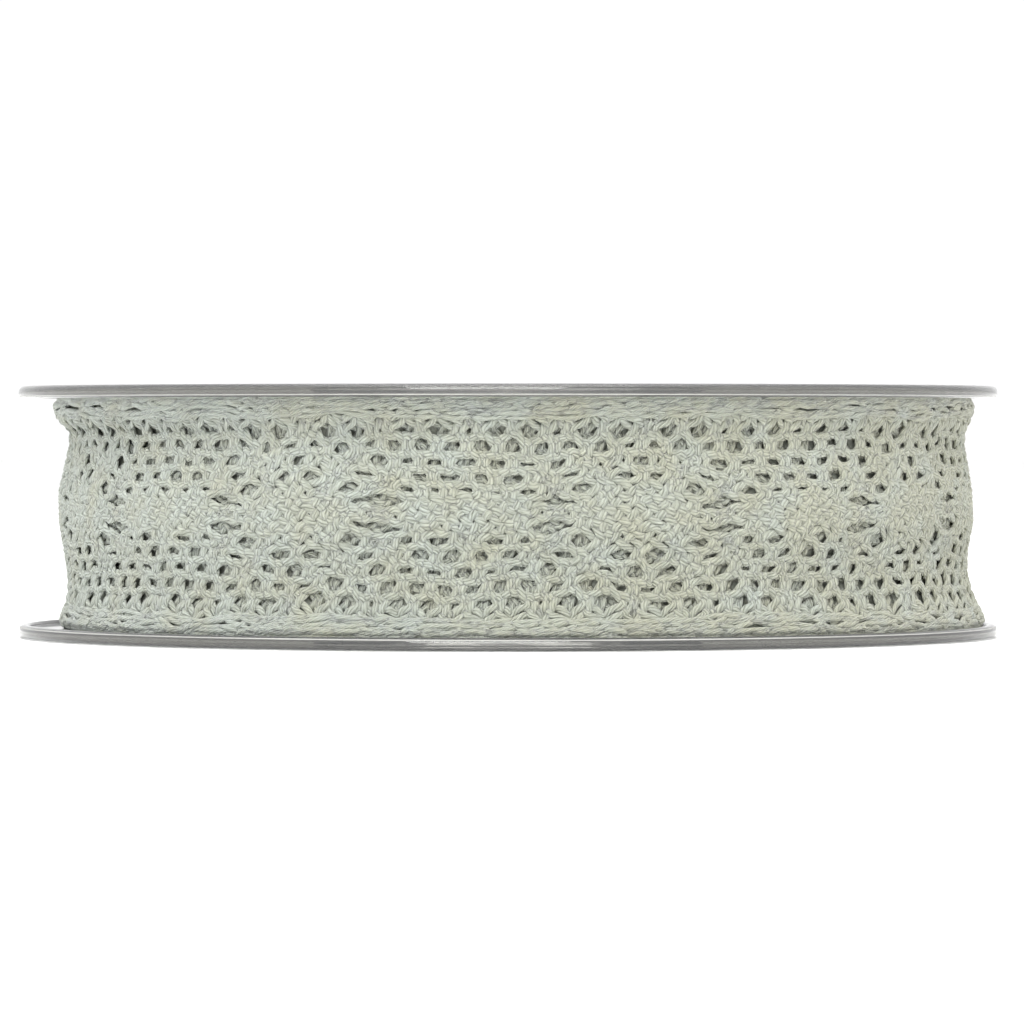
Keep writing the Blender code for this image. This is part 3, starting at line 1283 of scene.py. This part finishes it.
@dataclass
class WoundBody:
    """The inner turns as one body, with the edges of its turns as a spiral of ridges at both ends."""

    form: RollForm = field(default_factory=RollForm)
    finish: WoundLace = field(default_factory=WoundLace)
    turns: int = 35
    rings_per_turn: int = 4
    side_cuts: int = 23
    steps: int = 288
    sunk: float = 1.26
    edge_sunk: float = 0.95
    edge_depth: float = 2.2
    hollow_width: float = 0.8
    end_margin: float = 0.20
    lip_height: float = 0.22
    lip_share: float = 0.965
    lip_width: float = 0.03
    ridge_height: float = 0.5
    knot_count: int = 96
    knot_shift: float = 2.4
    knot_height: float = 0.08
    level_waves: int = 3
    level_shift: float = 2.1
    level_height: float = 0.10
    drop_range: tuple[float, float] = (0.1, 2.0)
    # Lit share of the sides seen through the holes; the rest is painted shade.
    side_lit_share: float = 0.52

    def build(self) -> list[bpy.types.Object]:
        """Model the body and hand it over.

        Returns:
            The body, in a list.
        """
        body = self.turn_section()
        self.shape(body)
        make_only_active(body)
        bpy.ops.object.mode_set(mode="EDIT")
        face_outwards()
        body.data.shade_smooth()
        body.data.materials.append(self.finish.make())
        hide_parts("lace_roll")
        hand_over(body)
        return [body]

    def turn_section(self) -> bpy.types.Object:
        """Draw the body's section as a rectangle, subdivide its sides and turn it about the axis.

        Returns:
            The turned body, still with straight sides.
        """
        inner = self.form.inner_radius * MM
        outer = (self.form.mean_radius - self.edge_sunk) * MM
        low = self.form.foot * MM
        high = (self.form.foot + self.form.lace_width) * MM
        deselect_all()
        bpy.ops.mesh.primitive_plane_add(size=1.0, rotation=(math.pi / 2.0, 0.0, 0.0))
        body = bpy.context.active_object
        body.name = body.data.name = "lace_body"
        body.scale = (outer - inner, high - low, 1.0)
        body.location = ((outer + inner) / 2.0, 0.0, (high + low) / 2.0)
        bpy.ops.object.transform_apply(location=True, rotation=True, scale=True)
        bpy.ops.object.mode_set(mode="EDIT")
        bpy.ops.mesh.select_all(action="SELECT")
        bpy.ops.mesh.delete(type="ONLY_FACE")
        near = 0.01 * MM
        pick(body, "EDGE", lambda edge: abs(edge.verts[0].co.z - edge.verts[1].co.z) < near)
        bpy.ops.mesh.subdivide(number_cuts=self.turns * self.rings_per_turn - 1)
        pick(body, "EDGE", lambda edge: min(corner.co.x for corner in edge.verts) > outer - near)
        bpy.ops.mesh.subdivide(number_cuts=self.side_cuts)
        bpy.ops.mesh.select_all(action="SELECT")
        bpy.ops.mesh.spin(steps=self.steps, angle=math.tau, center=(0.0, 0.0, 0.0), axis=(0.0, 0.0, 1.0))
        bpy.ops.mesh.select_all(action="SELECT")
        bpy.ops.mesh.remove_doubles(threshold=0.001 * MM)
        bpy.ops.object.mode_set(mode="OBJECT")
        return body

    def shape(self, body: bpy.types.Object) -> None:
        """Move the turned body's corners to the uneven roll and its ridged ends, and store how lit each corner
        is, the rest being painted shade.

        Args:
            body: The turned body.
        """
        form = self.form
        count = len(body.data.vertices)
        corners = np.zeros(count * 3, np.float32)
        body.data.vertices.foreach_get("co", corners)
        corners = corners.reshape(-1, 3).astype(float) / MM
        angle = np.arctan2(corners[:, 1], corners[:, 0])
        flat = np.hypot(corners[:, 0], corners[:, 1])
        height = corners[:, 2] - form.foot
        share = (flat - form.inner_radius) / (form.mean_radius - self.edge_sunk - form.inner_radius)
        surface = form.radius(angle, np.clip(height, 0.0, form.lace_width))
        from_edge = np.minimum(height, form.lace_width - height)
        hollow = np.clip((from_edge - self.edge_depth) / self.hollow_width, 0.0, 1.0)
        sunk = self.edge_sunk + (self.sunk - self.edge_sunk) * hollow
        radius = form.inner_radius + share * (surface - sunk - form.inner_radius)
        at_end = from_edge < 0.01
        turn = share * self.turns + angle / math.tau
        ridge = np.abs(np.sin(math.pi * turn))
        knots = self.knot_height * np.sin(angle * self.knot_count + self.knot_shift * np.floor(turn))
        sway = np.sin(self.level_waves * angle)
        level = self.level_height * np.sin(np.floor(turn) * self.level_shift + sway)
        drop = self.end_margin + self.ridge_height * (1.0 - ridge) + knots + level
        drop = np.where(share < 0.001, self.end_margin, drop)
        lip = np.clip((share - self.lip_share) / self.lip_width, 0.0, 1.0)
        drop = np.clip(drop, *self.drop_range) * (1.0 - lip) - self.lip_height * lip
        inwards = np.where(height > form.lace_width / 2.0, -1.0, 1.0)
        height = np.where(at_end, height + inwards * drop, height)
        corners[:, 0] = radius * np.cos(angle) + form.offset * share
        corners[:, 1] = radius * np.sin(angle)
        corners[:, 2] = height + form.foot
        body.data.vertices.foreach_set("co", (corners * MM).astype(np.float32).ravel())
        # Painted shade: on the ends the ridges are lit and the hollows between turns shaded, lighter with the
        # knots; the sides take one fixed lit share.
        lit_share = body.data.attributes.new(self.finish.lit_share, "FLOAT", "POINT")
        light = np.where(at_end, np.clip(ridge + 2.0 * knots, 0.0, 1.0), self.side_lit_share)
        lit_share.data.foreach_set("value", light.astype(np.float32))
        body.data.update()


# Studio


@dataclass(frozen=True)
class AreaLight:
    """One soft light of the studio."""

    name: str
    place: tuple[float, float, float]
    size: float
    power: float
    colour: tuple[float, float, float] = (1.0, 1.0, 1.0)

    def build(self, target: Vector) -> None:
        """Hang the light and turn it to the target."""
        data = bpy.data.lights.new(self.name, "AREA")
        data.size = self.size
        data.energy = self.power
        data.color = self.colour
        lamp = bpy.data.objects.new(self.name, data)
        lamp.location = self.place
        lamp.rotation_euler = (target - Vector(self.place)).to_track_quat("-Z", "Y").to_euler()
        bpy.context.scene.collection.objects.link(lamp)


@dataclass
class Studio:
    """Pale floor, soft lights and the camera at the photo's angle."""

    target: Vector = field(default_factory=lambda: Vector((0.0, 0.0, 0.014)))
    camera_place: tuple[float, float, float] = (0.00045, -0.7865, 0.0237)
    camera_aim: tuple[float, float, float] = (0.00045, 0.0, 0.01394)
    lens: float = 245.5
    sensor: float = 36.0
    floor_size: float = 8.0
    floor_gap: float = 0.1 * MM
    world_light: float = 1.04
    lights: tuple[AreaLight, ...] = (
        AreaLight("key_front", (-0.08, -0.85, 0.58), 0.6, 9.4, (1.0, 1.0, 0.97)),
        AreaLight("overhead", (0.0, 0.1, 0.9), 0.9, 4.5),
    )

    def build(self) -> None:
        """Set up the floor, the world, the lights and the camera."""
        self.build_floor()
        self.build_world()
        for light in self.lights:
            light.build(self.target)
        self.build_camera()

    def build_floor(self) -> None:
        """Lay the floor a hair's breadth under the reel, so that light still enters its lower face."""
        deselect_all()
        bpy.ops.mesh.primitive_plane_add(size=self.floor_size, location=(0.0, 0.0, -self.floor_gap))
        floor = bpy.context.active_object
        floor.name = "floor"
        floor.data.materials.append(FloorPaper().make())

    def build_world(self) -> None:
        """Light the whole studio softly."""
        world = bpy.data.worlds.new("studio")
        world.use_nodes = True
        background = world.node_tree.nodes["Background"]
        background.inputs["Color"].default_value = (1.0, 1.0, 1.0, 1.0)
        background.inputs["Strength"].default_value = self.world_light
        bpy.context.scene.world = world
        bpy.context.scene.view_settings.view_transform = "Standard"

    def build_camera(self) -> None:
        """Place the camera at the photo's angle."""
        data = bpy.data.cameras.new("camera")
        data.lens = self.lens
        data.sensor_width = self.sensor
        data.clip_start = 0.01
        data.clip_end = 20.0
        camera = bpy.data.objects.new("camera", data)
        camera.location = self.camera_place
        aim = Vector(self.camera_aim) - Vector(self.camera_place)
        camera.rotation_euler = aim.to_track_quat("-Z", "Y").to_euler()
        bpy.context.scene.collection.objects.link(camera)
        bpy.context.scene.camera = camera


def main() -> None:
    """Build the studio, the reel and the lace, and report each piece."""
    logging.basicConfig(level=logging.INFO, format="%(name)s %(message)s")
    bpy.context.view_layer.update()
    Studio().build()
    for part in (Reel(), WoundBody(), LaceTurns()):
        for piece in part.build():
            LOG.info("%s: %d faces", piece.name, len(piece.data.polygons))


if __name__ == "__main__":
    main()
